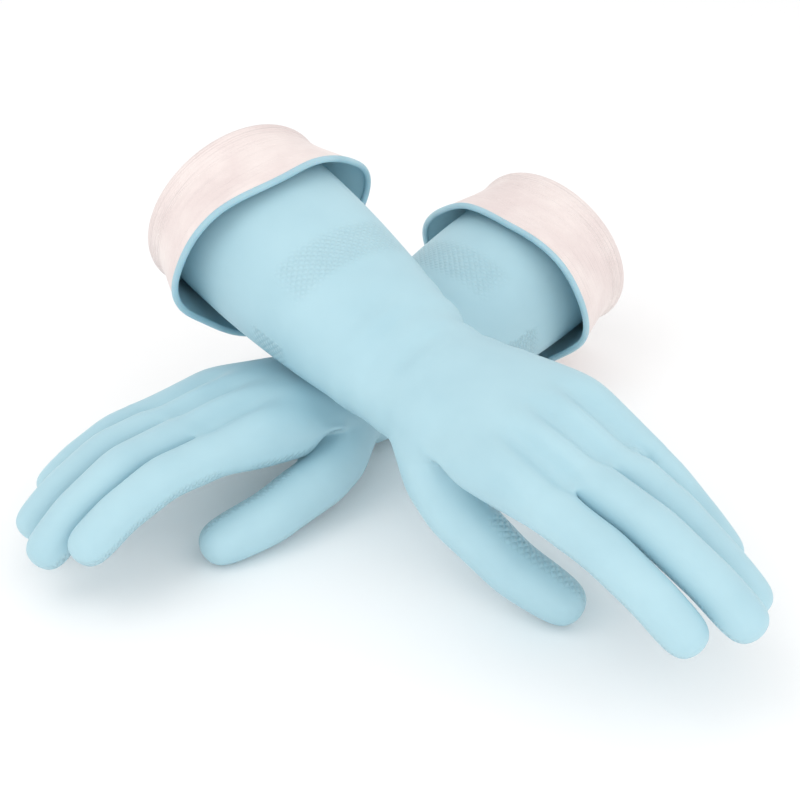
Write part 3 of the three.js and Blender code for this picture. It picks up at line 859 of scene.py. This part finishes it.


# Makes one glove: one smooth skin, divided into pieces that each get a wall and a finish. The hand's
# pieces, the bead and the right glove's sleeve pieces are hung on a body; the stalls, the tips and the
# left glove's sleeve pieces are not.
def makeGlove(glove, finishes):
    name = glove["name"]
    whole, frames = buildCage(glove)
    whole.data.transform(Matrix.Scale(mm, 4))
    activate(whole)
    bpy.ops.object.shade_smooth()
    smooth = whole.modifiers.new("smooth", "SUBSURF")
    smooth.levels = smooth.render_levels = 3
    bpy.ops.object.modifier_apply(modifier="smooth")
    parts = pointParts(whole)
    smoothWeb(whole, glove, frames)
    shapeSkin(whole, glove, frames, parts)
    setAttribute(whole, "wholeNormal", "FLOAT_VECTOR", pointNormals(whole))
    handBody = "right_glove" if name == "right" else "left_hand"
    sleeveBody = "right_glove" if name == "right" else "left_sleeve"
    liningDepth = film["thickness"] + film["liningGap"]

    def bendWrist(piece):
        if name == "left":
            bendPiece(piece, sleeveBody, handBody, frames["wrist"], -28, 11)
        else:
            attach(piece, handBody)

    sleevePiece = takePart(whole, name + "_sleeve_rubber", glove, frames, "sleeve")
    bead = makeBead(sleevePiece, name + "_rolled_bead")
    giveWall(sleevePiece, 0, film["thickness"])
    dress(sleevePiece, finishes["rubber_film"])
    bendWrist(sleevePiece)
    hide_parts(name + "_sleeve", name + "_turned_cuff")
    dress(bead, finishes["bead_rubber"])
    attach(bead, sleeveBody)
    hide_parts(name + "_cuff_bead")
    sleeveLining = takePart(whole, name + "_sleeve_flock", glove, frames, "sleeve")
    giveWall(sleeveLining, liningDepth, film["liningThickness"])
    dress(sleeveLining, finishes["flock_lining"])
    bendWrist(sleeveLining)
    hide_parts(name + "_sleeve_lining", name + "_cuff_lining")
    handPiece = takePart(whole, name + "_hand_rubber", glove, frames, "hand")
    giveWall(handPiece, 0, film["thickness"])
    dress(handPiece, finishes["rubber_film"])
    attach(handPiece, handBody)
    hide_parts(name + "_hand")
    handLining = takePart(whole, name + "_hand_flock", glove, frames, "hand")
    giveWall(handLining, liningDepth, film["liningThickness"])
    dress(handLining, finishes["flock_lining"])
    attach(handLining, handBody)
    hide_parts(name + "_hand_lining")
    print("made the sleeve and hand of the", name, "glove")
    for finger in [*fingerNames, "thumb"]:
        place = frames[finger]["lower"]
        if finger == "thumb":
            joint, root, spread = thumb["bones"][1], hand["thumbStart"], thumbJointHalf
        else:
            joint, root, spread = stalls[finger]["bones"][0], hand["stallStart"], jointHalf
        bodies = [f"{name}_{finger}", f"{name}_{finger}_end"]
        stall = takePart(whole, f"{name}_{finger}_rubber", glove, frames, finger)
        giveWall(stall, 0, film["thickness"])
        dress(stall, finishes["rubber_film"])
        rootEnd = min(root + 13, joint - spread - 0.5)
        bendPiece(stall, handBody, bodies[0], place, root + 0.5, rootEnd)
        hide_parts(f"{name}_{finger}_stall")
        tip = takePart(whole, f"{name}_{finger}_tip_rubber", glove, frames, finger + "End")
        giveWall(tip, 0, film["thickness"])
        dress(tip, finishes["rubber_film"])
        bendPiece(tip, *bodies, place, joint - spread + 1.3, joint + spread)
        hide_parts(f"{name}_{finger}_tip")
    print("made the stalls of the", name, "glove")
    bpy.data.objects.remove(whole)


studioLook = dict(world=0.95, key=2.7, fill=1.4, front=3.2)
# The place and the size of each lamp, in metres.
lamps = dict(
    key=((-0.7, -0.35, 1.2), 0.9),
    fill=((0.9, -0.6, 0.8), 0.9),
    front=((0.1, -1.3, 0.45), 1.2),
)


def studio():
    bpy.context.scene.view_settings.view_transform = "Standard"
    bpy.ops.mesh.primitive_plane_add(size=6)
    floor = bpy.context.object
    floor.name = "studio_floor"
    floor.location.z = -0.0005
    material, _, shader = newMaterial("paper sweep, matt")
    shader.inputs["Base Color"].default_value = (0.98, 0.98, 0.98, 1)
    shader.inputs["Roughness"].default_value = 0.95
    shader.inputs["Specular IOR Level"].default_value = 0.1
    floor.data.materials.append(material)
    world = bpy.data.worlds.new("studio")
    bpy.context.scene.world = world
    world.use_nodes = True
    background = world.node_tree.nodes["Background"]
    background.inputs["Color"].default_value = (1, 1, 1, 1)
    background.inputs["Strength"].default_value = studioLook["world"]
    for name, (place, size) in lamps.items():
        light = bpy.data.lights.new(name, "AREA")
        light.size = size
        light.energy = studioLook[name]
        lamp = bpy.data.objects.new(name, light)
        bpy.context.scene.collection.objects.link(lamp)
        lamp.location = place
        lamp.rotation_mode = "QUATERNION"
        lamp.rotation_quaternion = Vector(place).to_track_quat("Z", "Y")


# The layout's own origin is in the middle of the view.
def addCamera():
    lens = bpy.data.cameras.new("camera")
    lens.lens = camera["lens"]
    viewer = bpy.data.objects.new("camera", lens)
    bpy.context.scene.collection.objects.link(viewer)
    rise = math.radians(camera["elevation"])
    back = Vector((0, -math.cos(rise), math.sin(rise)))
    viewer.location = (layoutShift + back * camera["distance"]) * mm
    viewer.rotation_mode = "QUATERNION"
    viewer.rotation_quaternion = back.to_track_quat("Z", "Y")
    bpy.context.scene.camera = viewer


finishes = dict(rubber_film=latexMaterial(), bead_rubber=beadMaterial(), flock_lining=flockMaterial())
makeGlove(rightGlove, finishes)
makeGlove(leftGlove, finishes)
studio()
addCamera()
